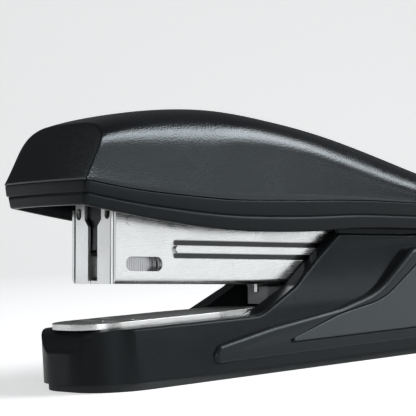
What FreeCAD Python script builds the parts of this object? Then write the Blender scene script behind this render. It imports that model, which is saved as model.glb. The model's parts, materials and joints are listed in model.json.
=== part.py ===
"""A desktop stapler: base, anvil, magazine, pusher and handle, in millimetres.

Two frames are used.  The base stands on the floor, z = 0, with x = 0 under the magazine's front
plate.  The magazine and the handle are drawn level, with z = 0 on the magazine's underside, and are
placed tilted nose up about the hinge pin, as the stapler rests.
"""
import FreeCAD
import Part
import math
import os

V = FreeCAD.Vector
doc = FreeCAD.newDocument("stapler")

# ---------------------------------------------------------------- driving dimensions
sheet = doc.addObject("Spreadsheet::Sheet", "dims")
DIMS = {
    "mid_x": 64.85,           # middle of the whole stapler, from the front plate
    "pin_x": 125.0,           # hinge pin behind the front plate
    "pin_up": 12.0,           # hinge pin above the magazine's underside
    "pin_height": 29.0,       # hinge pin above the floor
    "pin_rad": 2.4,
    "pin_fit": 0.05,          # radial clearance on the pin
    "pin_length": 26.0,
    "rest_tilt": 4.0,         # nose-up angle at rest
    "sole_thick": 2.0,
    "deck_height": 15.0,
    "shell_width": 38.0,
    "anvil_thick": 1.5,
    "anvil_x": 4.5,
    "disc_rad": 9.5,
    "disc_gap": 0.3,
    "frame_thick": 1.0,
    "frame_width": 22.8,
    "cheek_inner": 9.8,
    "cheek_outer": 13.5,
    "channel_width": 15.4,
    "channel_inner": 13.8,
    "sheet_thick": 0.8,
    "sleeve_length": 127.5,
    "sleeve_front": 0.3,
    "sleeve_inner": 8.2,
    "sleeve_outer": 9.1,
    "side_height": 18.4,
    "flap_height": 20.0,
    "rail_front": 2.4,
    "rail_length": 115.6,
    "rod_rad": 1.0,
    "rod_up": 4.2,
    "staple_pitch": 0.69,
    "pusher_length": 9.0,
    "arm_width": 20.4,
    "arm_inner": 18.8,
    "arm_up": 27.0,
    "arm_thick": 1.0,
    "blade_width": 12.6,
    "wing_thick": 4.8,
    "panel_thick": 1.0,
    "cover_half": 17.5,
    "cover_wall": 1.9,
    "bead_proud": 0.4,
    "seat_width": 8.4,
    "bridge_thick": 0.8,
}
for row, (alias, value) in enumerate(DIMS.items(), start=1):
    sheet.set("A%d" % row, alias)
    sheet.set("B%d" % row, str(value))
    sheet.setAlias("B%d" % row, alias)
doc.recompute()
D = {alias: sheet.get(alias) for alias in DIMS}

STAPLES = 50
PIN = V(D["pin_x"], 0, D["pin_up"])
BASE_PLACE = FreeCAD.Placement(V(-D["mid_x"], 0, 0), FreeCAD.Rotation())
TILT_PLACE = FreeCAD.Placement(
    V(D["pin_x"] - D["mid_x"], 0, D["pin_height"]), FreeCAD.Rotation(V(0, 1, 0), D["rest_tilt"])
) * FreeCAD.Placement(-PIN, FreeCAD.Rotation())
STRIP_FRONT = D["rail_front"]
STRIP_REAR = STRIP_FRONT + STAPLES * D["staple_pitch"]
PUSHER_FRONT = STRIP_REAR + 0.1
SPRING_FRONT = PUSHER_FRONT + D["pusher_length"] + 0.1
SPRING_REAR = 113.4
SIDES = (("left", 1), ("right", -1))


# ---------------------------------------------------------------- helpers
def rounded(points):
    """Closed outline through (a, b) or (a, b, radius) corners, as lines and arcs."""
    corners = [(V(p[0], p[1], 0), p[2] if len(p) > 2 else 0.0) for p in points]
    starts, ends, arcs = [], [], []
    for i, (corner, radius) in enumerate(corners):
        before, after = corners[i - 1][0], corners[(i + 1) % len(corners)][0]
        into, out = (before - corner).normalize(), (after - corner).normalize()
        if radius == 0:
            starts.append(corner)
            ends.append(corner)
            arcs.append(None)
            continue
        half = into.getAngle(out) / 2
        cut = radius / math.tan(half)
        first, last = corner + into * cut, corner + out * cut
        middle_way = (into + out).normalize()
        middle = corner + middle_way * (radius / math.sin(half) - radius)
        starts.append(first)
        ends.append(last)
        arcs.append(Part.Arc(first, middle, last))
    pieces = []
    for i, arc in enumerate(arcs):
        if arc is not None:
            pieces.append(arc)
        following = starts[(i + 1) % len(starts)]
        if (following - ends[i]).Length > 1e-7:
            pieces.append(Part.LineSegment(ends[i], following))
    return pieces


def box_outline(a0, b0, a1, b1, radius=0.0):
    return [(a0, b0, radius), (a1, b0, radius), (a1, b1, radius), (a0, b1, radius)]


def slot_outline(a0, a1, b, radius):
    """Corners of a stadium whose ends reach a0 and a1."""
    near = radius * 0.9999
    return box_outline(a0, b - radius, a1, b + radius, near)


def new_body(label, place):
    body = doc.addObject("PartDesign::Body", label)
    body.Label = label
    body.Placement = place
    return body


def sketch_on(body, plane, outlines, offset=0.0):
    """Sketch on one of the body's own planes, moved along the plane's normal."""
    sketch = body.newObject("Sketcher::SketchObject", "sketch")
    origin = next(o for o in body.Origin.OriginFeatures if o.Role == plane)
    sketch.AttachmentSupport = [(origin, "")]
    sketch.MapMode = "FlatFace"
    sketch.AttachmentOffset = FreeCAD.Placement(V(0, 0, offset), FreeCAD.Rotation())
    for outline in outlines:
        if isinstance(outline, tuple) and outline[0] == "circle":
            circle = Part.Circle(V(outline[1], outline[2], 0), V(0, 0, 1), outline[3])
            sketch.addGeometry(circle)
        else:
            sketch.addGeometry(rounded(outline))
    return sketch


def bind(feature, prop, formula):
    """Bind a size to the sheet; bare aliases are written with their sheet's name."""
    words = formula.split()
    feature.setExpression(prop, " ".join("dims." + w if w in DIMS else w for w in words))


def pad(body, plane, outlines, length, offset=0.0, middle=False, reverse=False):
    feature = body.newObject("PartDesign::Pad", "pad")
    feature.Profile = sketch_on(body, plane, outlines, offset)
    feature.Type = "Length"
    feature.SideType = "Symmetric" if middle else "One side"
    feature.Reversed = reverse
    bind(feature, "Length", length)
    doc.recompute()
    return feature


def pocket(body, plane, outlines, length=None, offset=0.0, middle=False, reverse=False):
    """Cut along the plane's normal when reverse is set, against it when not."""
    feature = body.newObject("PartDesign::Pocket", "pocket")
    feature.Profile = sketch_on(body, plane, outlines, offset)
    feature.SideType = "Symmetric" if middle else "One side"
    feature.Reversed = reverse
    if length is None:
        feature.Type = "ThroughAll"
    else:
        feature.Type = "Length"
        bind(feature, "Length", length)
    before = body.Shape.Volume if body.Tip else 0.0
    doc.recompute()
    assert body.Shape.Volume < before - 1e-6, body.Label + ": a pocket removed nothing"
    return feature


def fillet(body, wanted, radius):
    """Round the body's edges for which wanted(edge) holds."""
    tip = body.Tip
    names = ["Edge%d" % (i + 1) for i, e in enumerate(tip.Shape.Edges) if wanted(e)]
    assert names, body.Label + ": no edge to round"
    feature = body.newObject("PartDesign::Fillet", "fillet")
    feature.Base = (tip, names)
    feature.Radius = radius
    doc.recompute()
    assert "Invalid" not in feature.State, body.Label + ": an edge could not be rounded"
    return feature


def outside(points, reach=400.0):
    """Sketch outlines whose region is everything outside the given outline."""
    return [box_outline(-reach, -reach, reach, reach), points]


def shape_node(label, shape, place):
    node = doc.addObject("Part::Feature", label)
    node.Label = label
    node.Shape = shape
    node.Placement = place * shape.Placement
    return node


def cylinder(label, place, radius, length, start, axis):
    node = doc.addObject("Part::Cylinder", label)
    node.Label = label
    bind(node, "Radius", radius)
    bind(node, "Height", length)
    node.Placement = place * FreeCAD.Placement(start, FreeCAD.Rotation(V(0, 0, 1), axis))
    return node


def coil(radius, wire, start, end, turns):
    """A compression spring from start to end, with its wire's ends cut square."""
    length = (end - start).Length - wire
    helix = Part.makeHelix(length / turns, length, radius)
    circle = Part.Wire(Part.makeCircle(wire / 2, V(radius, 0, 0), V(0, 1, 0)))
    spring = Part.Wire(helix.Edges).makePipeShell([circle], True, True)
    spring.translate(V(0, 0, wire / 2))
    spring.Placement = FreeCAD.Placement(start, FreeCAD.Rotation(V(0, 0, 1), end - start)) * spring.Placement
    return spring


def smooth(points):
    """A smooth curve through the points, as a function of its first coordinate."""
    slopes = []
    for i in range(len(points)):
        low, high = points[max(i - 1, 0)], points[min(i + 1, len(points) - 1)]
        slopes.append((high[1] - low[1]) / (high[0] - low[0]))

    def value(x):
        i = next((k for k in range(1, len(points) - 1) if x < points[k][0]), len(points) - 1)
        (x0, y0), (x1, y1) = points[i - 1], points[i]
        run = x1 - x0
        t = (x - x0) / run
        t = min(max(t, 0.0), 1.0)
        return (
            y0 * (2 * t**3 - 3 * t**2 + 1)
            + slopes[i - 1] * run * (t**3 - 2 * t**2 + t)
            + y1 * (3 * t**2 - 2 * t**3)
            + slopes[i] * run * (t**3 - t**2)
        )

    return value


def spline(points):
    curve = Part.BSplineCurve()
    curve.interpolate(points)
    return curve.toShape()


# ---------------------------------------------------------------- base
BASE_FRONT = -12.0
BASE_REAR = 144.0
CAVITY_TOP = 9.0
SPRING_X = 57.0
SCREW_SPOTS = [(x, y) for x in (76.0, 112.0) for y in (-6.0, 6.0)]
CLIP_POCKET = 4.3


def sole_pad():
    body = new_body("sole_pad", BASE_PLACE)
    front, rear, half = BASE_FRONT + 2, BASE_REAR - 2, 16.5
    plan = [(front, -half, 13), (rear, -half, 9), (rear, half, 9), (front, half, 13)]
    holes = [("circle", D["anvil_x"], 0, 7.5)]
    holes += [("circle", x, y, 3.6) for x, y in SCREW_SPOTS]
    pad(body, "XY_Plane", [plan] + holes, "sole_thick")
    return body


def base_shell():
    body = new_body("base_shell", BASE_PLACE)
    sole, deck = D["sole_thick"], D["deck_height"]
    side = [
        (BASE_FRONT, sole), (BASE_REAR, sole, 3), (BASE_REAR, 9, 5), (137, deck, 8), (131, deck, 1),
        (131, 33, 4), (98, 32.8, 20), (72, 34.4, 1.5), (54, 21.5, 6), (40, deck, 12),
        (BASE_FRONT + 3, deck, 6), (BASE_FRONT, 9, 3),
    ]
    pad(body, "XZ_Plane", [side], "shell_width", middle=True)
    flare = [
        (-18.0, sole), (18.0, sole), (17.5, 7, 20), (16.0, 16.5, 20), (D["cheek_outer"], 26.5, 45),
        (D["cheek_outer"], 40), (-D["cheek_outer"], 40), (-D["cheek_outer"], 26.5, 45),
        (-16.0, 16.5, 20), (-17.5, 7, 20),
    ]
    pocket(body, "YZ_Plane", outside(flare), middle=True)
    plan = [
        (BASE_FRONT, -16.2, 14.5), (20, -17.2, 60), (60, -19.2, 60), (BASE_REAR, -19.2, 12),
        (BASE_REAR, 19.2, 12), (60, 19.2, 60), (20, 17.2, 60), (BASE_FRONT, 16.2, 14.5),
    ]
    pocket(body, "XY_Plane", outside(plan), middle=True)
    fillet(body, lambda e: e.BoundBox.ZMin > 20 and e.BoundBox.YLength < 0.01 and e.BoundBox.XLength > 12
           and abs(abs(e.BoundBox.YMin) - D["cheek_outer"]) < 0.1, 1.0)
    # a lip inside each cheek that closes the sight line under the handle's rim
    lip = [(73, 31), (104, 29.5), (104, 34.2), (102, 35.0), (75, 36.5), (73, 36.2)]
    for way in (1, -1):
        pad(body, "XZ_Plane", [lip], "1.4", offset=-way * 10.8, reverse=way > 0)
    # the trough that the magazine sinks into, wider at the back for the steel ears
    trough = box_outline(20, -D["cheek_inner"], 160, D["cheek_inner"])
    pocket(body, "XY_Plane", [trough], "25", offset=deck, reverse=True)
    wide = box_outline(98, -11.6, 160, 11.6)
    pocket(body, "XY_Plane", [wide], "25", offset=deck, reverse=True)
    pocket(body, "XZ_Plane", [("circle", D["pin_x"], D["pin_height"], CLIP_POCKET)], middle=True)
    pocket(body, "XY_Plane", [box_outline(49.3, -5.6, 63.5, 5.6, 1)], "4.5", offset=deck)
    # hollows under the deck, closed by the sole
    hollow = [box_outline(18, -12.5, 66, 12.5, 3), box_outline(86, -13.5, 104, 13.5, 3)]
    pocket(body, "XY_Plane", hollow, "7", offset=sole, reverse=True)
    pocket(body, "XY_Plane", [("circle", D["anvil_x"], 0, 7.5)], "8", offset=sole, reverse=True)
    pocket(body, "XY_Plane", [("circle", D["anvil_x"], 0, 3.3)], offset=deck + 1)
    wells = [("circle", x, y, 3.2) for x, y in SCREW_SPOTS]
    pocket(body, "XY_Plane", wells, "5", offset=sole, reverse=True)
    shanks = [("circle", x, y, 1.6) for x, y in SCREW_SPOTS]
    pocket(body, "XY_Plane", shanks, offset=deck + 1)
    return body


WING_FACE = 18.3
WING_OUTLINE = [
    (20, 4, 2.2), (24, 8.9, 2.2), (42, 12.0, 60), (67, 15.0, 30), (81, 18.4, 24), (95.6, 29.4, 6),
    (113, 29.4, 9), (124, 16.5, 10), (134, 14.6, 4), (136, 4, 2.2),
]


def panel_outline(gap):
    """Swept outline of the soft side panel, with a gap round it for its recess."""
    return [
        (46 - gap * 3, 7.6 - gap, 0.5), (66, 13.3 + gap, 30), (82.5, 15.9 + gap, 24), (97.5, 25.4 + gap, 5),
        (111.5 + gap / 2, 25.4 + gap, 8), (121 + gap, 14.6 + gap, 8), (130.5 + gap, 11.2 + gap, 4),
        (132.5 + gap, 7.6 - gap, 1.5),
    ]


def side_wing(name, side, shell):
    blank = new_body("wing_blank_" + name, BASE_PLACE)
    offset = -side * (WING_FACE - D["wing_thick"])
    pad(blank, "XZ_Plane", [WING_OUTLINE], "wing_thick", offset=offset, reverse=side > 0)
    edge_y = side * WING_FACE
    fillet(blank, lambda e: abs(e.BoundBox.YMin - edge_y) < 0.01 and e.BoundBox.YLength < 0.01, 1.5)
    pocket(blank, "XZ_Plane", [panel_outline(0.35)], "0.8", offset=-side * WING_FACE, reverse=side > 0)
    node = doc.addObject("Part::Cut", "side_wing_" + name)
    node.Label = "side_wing_" + name
    node.Base, node.Tool = blank, shell
    return node


def side_panel(name, side):
    body = new_body("side_panel_" + name, BASE_PLACE)
    inner = WING_FACE - 0.8
    pad(body, "XZ_Plane", [panel_outline(0)], "panel_thick", offset=-side * inner, reverse=side > 0)
    edge_y = side * (inner + D["panel_thick"])
    fillet(body, lambda e: abs(e.BoundBox.YMin - edge_y) < 0.01 and e.BoundBox.YLength < 0.01, 0.3)
    return body


def base_frame():
    body = new_body("base_frame", BASE_PLACE)
    deck, thick, half = D["deck_height"], D["frame_thick"], D["frame_width"] / 2
    pin = (D["pin_x"], D["pin_height"])
    floor = [
        (66, -9.5, 2), (99, -9.5), (99, -half), (130, -half), (130, half), (99, half), (99, 9.5), (66, 9.5, 2),
    ]
    holes = [("circle", x, y, 1.52) for x, y in SCREW_SPOTS]
    pad(body, "XY_Plane", [floor] + holes, "frame_thick", offset=deck)
    ear = [(104, deck), (130, deck), (pin[0] + 5.5, pin[1] + 4.5, 4.5), (pin[0] - 6, pin[1] + 4.5, 4.5)]
    hole = ("circle", pin[0], pin[1], D["pin_rad"] + D["pin_fit"])
    for side in (1, -1):
        inner = half - thick
        pad(body, "XZ_Plane", [ear, hole], "frame_thick", offset=-side * inner, reverse=side > 0)
    return body


def hinge_pin():
    start = V(D["pin_x"], -D["pin_length"] / 2, D["pin_height"])
    return cylinder("hinge_pin", BASE_PLACE, "pin_rad", "pin_length", start, V(0, 1, 0))


def ring_body(label, place, plane, centre, radii, length, offset, reverse=False):
    body = new_body(label, place)
    rings = [("circle", centre[0], centre[1], r) for r in radii]
    pad(body, plane, rings, length, offset=offset, reverse=reverse)
    return body


def pin_clip(name, side):
    centre = (D["pin_x"], D["pin_height"])
    radii = (3.8, D["pin_rad"] + 0.01)
    return ring_body("pin_clip_" + name, BASE_PLACE, "XZ_Plane", centre, radii, "0.8", -side * 11.6, side > 0)


def lift_spring():
    bottom = V(SPRING_X, 0, D["deck_height"] - 4.45)
    roof = TILT_PLACE.multVec(V(SPRING_X, 0, -1.2))
    top = V(SPRING_X, 0, roof.z - 0.35)
    return shape_node("lift_spring", coil(2.15, 0.7, bottom, top, 5.5), BASE_PLACE)


def base_screw(index, spot):
    body = new_body("base_screw_%d" % index, BASE_PLACE)
    x, y = spot
    pad(body, "XY_Plane", [("circle", x, y, 3.0)], "2.4", offset=4.6)
    pad(body, "XY_Plane", [("circle", x, y, 1.5)], "8.9", offset=7.0)
    slot = [box_outline(x - 2.4, y - 0.4, x + 2.4, y + 0.4), box_outline(x - 0.4, y - 2.4, x + 0.4, y + 2.4)]
    for bar in slot:
        pocket(body, "XY_Plane", [bar], "1.0", offset=4.6, reverse=True)
    return body


def anvil_plate():
    body = new_body("anvil_plate", BASE_PLACE)
    plan = [(-10, -11.6, 10), (30, -11.6, 6), (48, -8, 3), (48, 8, 3), (30, 11.6, 6), (-10, 11.6, 10)]
    hole = ("circle", D["anvil_x"], 0, D["disc_rad"] + D["disc_gap"])
    pad(body, "XY_Plane", [plan, hole], "anvil_thick", offset=D["deck_height"])
    return body



# ---------------------------------------------------------------- anvil, turned half round by its button
def anvil_disc():
    body = new_body("anvil_disc", BASE_PLACE)
    x, deck = D["anvil_x"], D["deck_height"]
    pad(body, "XY_Plane", [("circle", x, 0, D["disc_rad"])], "1.4", offset=deck + 0.05)
    pad(body, "XY_Plane", [("circle", x, 0, 3.0)], "10.15", offset=deck - 10)
    # pockets that fold a staple's legs inwards, and on the other side outwards
    near, far = x - 3.3, x + 3.3
    for side in (1, -1):
        inward = box_outline(near - 0.75, side * 4 - 3.0, near + 0.75, side * 4 + 3.0, 0.7)
        pocket(body, "XY_Plane", [inward], "0.6", offset=deck + 1.45)
        outward = box_outline(far - 0.75, side * 6.4 - 1.8, far + 0.75, side * 6.4 + 1.8, 0.7)
        pocket(body, "XY_Plane", [outward], "0.6", offset=deck + 1.45)
    return body


def anvil_button():
    body = new_body("anvil_button", BASE_PLACE)
    x = D["anvil_x"]
    pad(body, "XY_Plane", [("circle", x, 0, 6.2)], "2.4", offset=2.4)
    pocket(body, "XY_Plane", [("circle", x, 0, 3.0)], "0.8", offset=4.0, reverse=True)
    pocket(body, "XY_Plane", [box_outline(x - 4.5, -0.6, x + 4.5, 0.6)], "0.7", offset=2.4, reverse=True)
    return body


def anvil_spring():
    spring = coil(4.2, 1.0, V(D["anvil_x"], 0, 4.85), V(D["anvil_x"], 0, 9.9), 3)
    return shape_node("anvil_spring", spring, BASE_PLACE)


# ---------------------------------------------------------------- magazine
WINDOW = (3.4, 14.8, 4.9, 1.8)    # ends, height and half-height of the staple window
RIVET = (4.8, 15.5, 1.25)
HOUSING_FRONT = 54.2
HOUSING_REAR = 61.6
MAG_REAR = 130.5


def pin_hole():
    return ("circle", D["pin_x"], D["pin_up"], D["pin_rad"] + D["pin_fit"])


def magazine_channel():
    body = new_body("magazine_channel", TILT_PLACE)
    sheet_t, top = D["sheet_thick"], D["side_height"]
    side = [
        (0, 0), (sheet_t, 0), (sheet_t, sheet_t), (MAG_REAR - 6, sheet_t, 4), (MAG_REAR, 7, 3),
        (MAG_REAR, 17, 3), (MAG_REAR - 6, top, 6), (sheet_t, top), (sheet_t, D["flap_height"]),
        (0, D["flap_height"]),
    ]
    pad(body, "XZ_Plane", [side, pin_hole()], "channel_width", middle=True)
    fillet(body, lambda e: e.BoundBox.XMax < 0.01 and e.BoundBox.ZLength > 15, 0.7)
    half = D["channel_inner"] / 2
    inside = box_outline(sheet_t, -half, 140, half)
    pocket(body, "XY_Plane", [inside], "30", offset=2 * sheet_t, reverse=True)
    exit_hole = box_outline(sheet_t, -half, 2.4, half)
    pocket(body, "XY_Plane", [exit_hole], "10", reverse=True)
    slot = [(-1.95, -5), (1.95, -5), (1.95, 14.2, 0.5), (3.45, 15.9, 0.5), (3.45, 30), (-3.45, 30),
            (-3.45, 15.9, 0.5), (-1.95, 14.2, 0.5)]
    pocket(body, "YZ_Plane", [slot], "sheet_thick", reverse=True)
    for side in (1, -1):
        hole = box_outline(side * 5.9 - 1.1, 15.9, side * 5.9 + 1.1, 18.9, 1.09)
        pocket(body, "YZ_Plane", [hole], "sheet_thick", reverse=True)
    a, b, up, rad = WINDOW
    pocket(body, "XZ_Plane", [slot_outline(a - 0.3, b + 0.3, up, rad + 0.3)], middle=True)
    return body


def magazine_sleeve():
    body = new_body("magazine_sleeve", TILT_PLACE)
    outer, inner, top = D["sleeve_outer"], D["sleeve_inner"], D["side_height"]
    floor = D["sheet_thick"]
    section = [
        (-outer, 0, 1.5), (outer, 0, 1.5), (outer, top), (inner, top), (inner, floor, 0.7),
        (-inner, floor, 0.7), (-inner, top), (-outer, top),
    ]
    pad(body, "YZ_Plane", [section], "sleeve_length", offset=D["sleeve_front"])
    pocket(body, "XY_Plane", [box_outline(-1, -inner, 0.85, inner)], "1.0", offset=1.0)
    rear = [(-5, -5), (118, -5), (MAG_REAR - 4, 5, 3), (MAG_REAR - 4, 18, 3), (120, 30), (-5, 30)]
    pocket(body, "XZ_Plane", outside(rear), middle=True)
    pocket(body, "XZ_Plane", [pin_hole()], middle=True)
    a, b, up, rad = WINDOW
    pocket(body, "XZ_Plane", [slot_outline(a, b, up, rad)], middle=True)
    rivet = [("circle", RIVET[0], RIVET[1], RIVET[2])]
    pocket(body, "XZ_Plane", rivet, middle=True)
    rib = [slot_outline(18.8, 103.5, 8.7, 0.9)]
    groove = [slot_outline(17.3, 105, 8.7, 2.4)] + rib
    for side in (1, -1):
        pocket(body, "XZ_Plane", groove, "0.45", offset=-side * outer, reverse=side > 0)
        pad(body, "XZ_Plane", rib, "bead_proud", offset=-side * outer, reverse=side > 0)
    return body


def core_rail():
    body = new_body("core_rail", TILT_PLACE)
    half, wall, floor, top = 5.85, 0.75, 2 * D["sheet_thick"], 7.65
    section = [
        (-half, floor), (-half + wall, floor), (-half + wall, top - wall), (half - wall, top - wall),
        (half - wall, floor), (half, floor), (half, top, 0.3), (-half, top, 0.3),
    ]
    pad(body, "YZ_Plane", [section], "rail_length", offset=D["rail_front"])
    pocket(body, "XY_Plane", [box_outline(9, -1.5, 112.5, 1.5, 1.49)], offset=9)
    return body


def guide_rod():
    start = V(5.2, 0, D["rod_up"])
    rod = doc.addObject("Part::Cylinder", "guide_rod")
    rod.Label = "guide_rod"
    bind(rod, "Radius", "rod_rad")
    rod.Height = 111.6
    rod.Placement = TILT_PLACE * FreeCAD.Placement(start, FreeCAD.Rotation(V(0, 0, 1), V(1, 0, 0)))
    return rod


def rod_holder(name, x):
    body = new_body("rod_holder_" + name, TILT_PLACE)
    block = box_outline(-5.08, 1.62, 5.08, 6.88, 0.4)
    pad(body, "YZ_Plane", [block, ("circle", 0, D["rod_up"], D["rod_rad"] + 0.02)], "2.5", offset=x)
    return body


def pusher():
    body = new_body("pusher", TILT_PLACE)
    section = [
        (-6.6, 2.2), (-6.05, 2.2), (-6.05, 7.85), (-1.25, 7.85), (-1.25, 5.9), (1.25, 5.9), (1.25, 7.85),
        (6.05, 7.85), (6.05, 2.2), (6.6, 2.2), (6.6, 9.6, 1.2), (-6.6, 9.6, 1.2),
    ]
    pad(body, "YZ_Plane", [section], "pusher_length", offset=PUSHER_FRONT)
    boss = [("circle", 0, D["rod_up"], 2.4), ("circle", 0, D["rod_up"], D["rod_rad"] + 0.06)]
    pad(body, "YZ_Plane", boss, "pusher_length", offset=PUSHER_FRONT)
    return body


def pusher_spring():
    start, end = V(SPRING_FRONT, 0, D["rod_up"]), V(SPRING_REAR, 0, D["rod_up"])
    return shape_node("pusher_spring", coil(1.65, 0.45, start, end, 26), TILT_PLACE)


def staple_strip():
    """The staples as one glued strip: a ridge for each wire, over a slightly smaller core."""
    def wire_shape(inset, x, length):
        outer, inner, top, bottom = 6.45 - inset, 5.92 + inset * 0.75, 8.2 - inset, 2.0 + inset
        face = Part.Face(Part.makePolygon([
            V(x, -outer, bottom), V(x, -inner, bottom), V(x, -inner, 7.7), V(x, inner, 7.7),
            V(x, inner, bottom), V(x, outer, bottom), V(x, outer, top), V(x, -outer, top), V(x, -outer, bottom),
        ]))
        return face.extrude(V(length, 0, 0))

    pitch = D["staple_pitch"]
    wires = [wire_shape(0.0, STRIP_FRONT + i * pitch, pitch * 0.82) for i in range(STAPLES)]
    core = wire_shape(0.1, STRIP_FRONT + 0.1, STAPLES * pitch - 0.3)
    return shape_node("staple_strip", core.multiFuse(wires), TILT_PLACE)


def hinge_bush():
    centre = (D["pin_x"], D["pin_up"])
    radii = (3.6, D["pin_rad"] + D["pin_fit"])
    body = new_body("hinge_bush", TILT_PLACE)
    rings = [("circle", centre[0], centre[1], r) for r in radii]
    pad(body, "XZ_Plane", rings, "channel_inner", middle=True)
    return body


def sleeve_rivet(name, side):
    x, up, rad = RIVET
    start = V(x, side * D["channel_width"] / 2, up)
    rivet = doc.addObject("Part::Cylinder", "sleeve_rivet_" + name)
    rivet.Label = "sleeve_rivet_" + name
    rivet.Radius = rad
    rivet.Height = 1.6
    rivet.Placement = TILT_PLACE * FreeCAD.Placement(start, FreeCAD.Rotation(V(0, 0, 1), V(0, side, 0)))
    return rivet


def spring_seat():
    """A folded plate under the magazine: a tongue in front of the spring's housing and an ear on each side."""
    body = new_body("spring_seat", TILT_PLACE)
    front, back, rear, half = HOUSING_FRONT - 3.7, HOUSING_FRONT + 0.6, HOUSING_REAR, D["seat_width"] / 2
    plan = [(front, -half), (rear, -half), (rear, half), (back, half), (back, 1.1 - half), (front, 1.1 - half)]
    pad(body, "XY_Plane", [plan], "0.6", reverse=True)
    pad(body, "XY_Plane", [box_outline(front, -half, front + 0.6, 1.1 - half)], "2.0", reverse=True)
    ears = [(rear - 3.2, 0), (rear - 2.2, -1.9, 0.4), (rear - 1.0, -1.9, 0.4), (rear, 0)]
    for way in (1, -1):
        pad(body, "XZ_Plane", [ears], "0.6", offset=-way * D["seat_width"] / 2, reverse=way > 0)
    return body


def spring_housing():
    body = new_body("spring_housing", TILT_PLACE)
    half = D["seat_width"] / 2 - 0.2
    plan = box_outline(HOUSING_FRONT, -half, HOUSING_REAR, half, 0.5)
    pad(body, "XY_Plane", [plan], "4.6", offset=-0.6, reverse=True)
    pad(body, "XY_Plane", [box_outline(HOUSING_FRONT, 1.2 - half, HOUSING_FRONT + 0.5, half)], "0.58", offset=-0.6)
    pocket(body, "XY_Plane", [("circle", SPRING_X + 0.6, 0, 2.9)], "4.0", offset=-5.2, reverse=True)
    return body


def spring_bridge():
    body = new_body("spring_bridge", TILT_PLACE)
    outer = D["sleeve_outer"]
    plan = box_outline(52, -outer, 68, outer, 1.5)
    pad(body, "XY_Plane", [plan], "bridge_thick", offset=D["side_height"])
    return body


def handle_spring():
    bottom = V(60, 0, D["side_height"] + D["bridge_thick"] + 0.05)
    top = V(60, 0, D["arm_up"] - 0.05)
    return shape_node("handle_spring", coil(3.8, 0.8, bottom, top, 3.5), TILT_PLACE)


# ---------------------------------------------------------------- handle
NOSE = -14.8            # front corners of the rim's upper edge
BOW = 0.7               # how far the front bulges between its corners
REAR_END = 140.0
REAR_CORNER = 9.0
LEAN = 0.5              # how far the front facet leans back for each millimetre up
rim_top = smooth([(-16, 24.5), (-1.5, 22.7), (13, 21.7), (32, 21.0), (53, 21.5), (80, 22.3), (141, 21.6)])
rim_bottom = smooth([(-16, 19.0), (-0.5, 16.7), (11, 15.3), (26, 13.9), (42, 13.4), (60, 13.8), (76, 14.9),
                     (97, 15.2), (141, 15.0)])
crest = smooth([(-22, 33.0), (-8.5, 38.9), (4, 42.1), (20, 44.3), (34, 44.8), (52, 43.4), (70, 41.1),
                (88, 37.5), (107, 32.7), (124, 28.2), (142, 24.0)])
shoulder_share = smooth([(-16, 0.46), (21, 0.47), (39, 0.54), (57, 0.53), (74, 0.4), (96, 0.215), (118, 0.08),
                         (142, 0.0)])
boxiness = smooth([(-16, 3.7), (-6, 3.4), (6, 3.0), (20, 2.7), (39, 2.5), (57, 2.2), (74, 2.0), (96, 1.85), (142, 1.85)])
SECTIONS = [-22, -8, 4, 18, 34, 52, 70, 88, 106, 124, 146]


def cover_section(x, inset):
    """Closed wire across the cover at x: flat bottom, near-upright sides, rounded top."""
    half, low = D["cover_half"] - inset, 8.0
    top = crest(x) - inset
    share = shoulder_share(x)
    turn = rim_top(x) + share * (crest(x) - rim_top(x)) - inset * 0.4
    waist = half - 0.45 * min(share / 0.35, 1.0)
    power = boxiness(x)
    steps = 14
    curve = []
    for i in range(steps + 1):
        angle = math.pi * i / steps
        c, s = math.cos(angle), math.sin(angle)
        across = math.copysign(abs(c) ** (2 / power), c) * waist
        curve.append(V(x, across, turn + (top - turn) * abs(s) ** (2 / power)))
    edges = [
        Part.makeLine(V(x, -half, low), V(x, half, low)),
        Part.makeLine(V(x, half, low), curve[0]),
        spline(curve),
        Part.makeLine(curve[-1], V(x, -half, low)),
    ]
    return Part.Wire(edges)


def front_edge(inset, corner):
    """Plan points for the bowed front between the corners, right to left."""
    half = D["cover_half"] - inset - corner
    return [V(NOSE - BOW * (1 - (y / half) ** 2), y, 0) for y in (-half, 0, half)]


def plan_face(inset, front_inset, corner=1.2):
    """Plan of the handle: bowed front, straight sides and a rounded rear."""
    half = D["cover_half"] - inset
    a, b, c = [p + V(front_inset, 0, 0) for p in front_edge(inset, corner)]
    side_x = a.x + corner
    turn = corner * (1 - math.sqrt(0.5))
    rear_x, bend = REAR_END - inset, REAR_CORNER - inset
    nip = bend * (1 - math.sqrt(0.5))
    edges = [
        Part.Arc(a, b, c).toShape(),
        Part.Arc(c, V(c.x + turn, half - turn, 0), V(side_x, half, 0)).toShape(),
        Part.makeLine(V(side_x, half, 0), V(rear_x - bend, half, 0)),
        Part.Arc(V(rear_x - bend, half, 0), V(rear_x - nip, half - nip, 0), V(rear_x, half - bend, 0)).toShape(),
        Part.makeLine(V(rear_x, half - bend, 0), V(rear_x, bend - half, 0)),
        Part.Arc(V(rear_x, bend - half, 0), V(rear_x - nip, nip - half, 0), V(rear_x - bend, -half, 0)).toShape(),
        Part.makeLine(V(rear_x - bend, -half, 0), V(side_x, -half, 0)),
        Part.Arc(V(side_x, -half, 0), V(a.x + turn, turn - half, 0), a).toShape(),
    ]
    return Part.Face(Part.Wire(Part.__sortEdges__(edges)))


def under(curve, gap=0.0):
    """Everything below the wavy line z = curve(x), as a solid across the handle."""
    xs = [-30 + 9 * i for i in range(21)]
    line = spline([V(x, 0, curve(x) + gap) for x in xs])
    first, last = line.Vertexes[0].Point, line.Vertexes[-1].Point
    rest = Part.makePolygon([last, V(last.x, 0, -20), V(first.x, 0, -20), first])
    face = Part.Face(Part.Wire([line] + rest.Edges))
    solid = face.extrude(V(0, 60, 0))
    solid.translate(V(0, -30, 0))
    return solid


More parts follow.
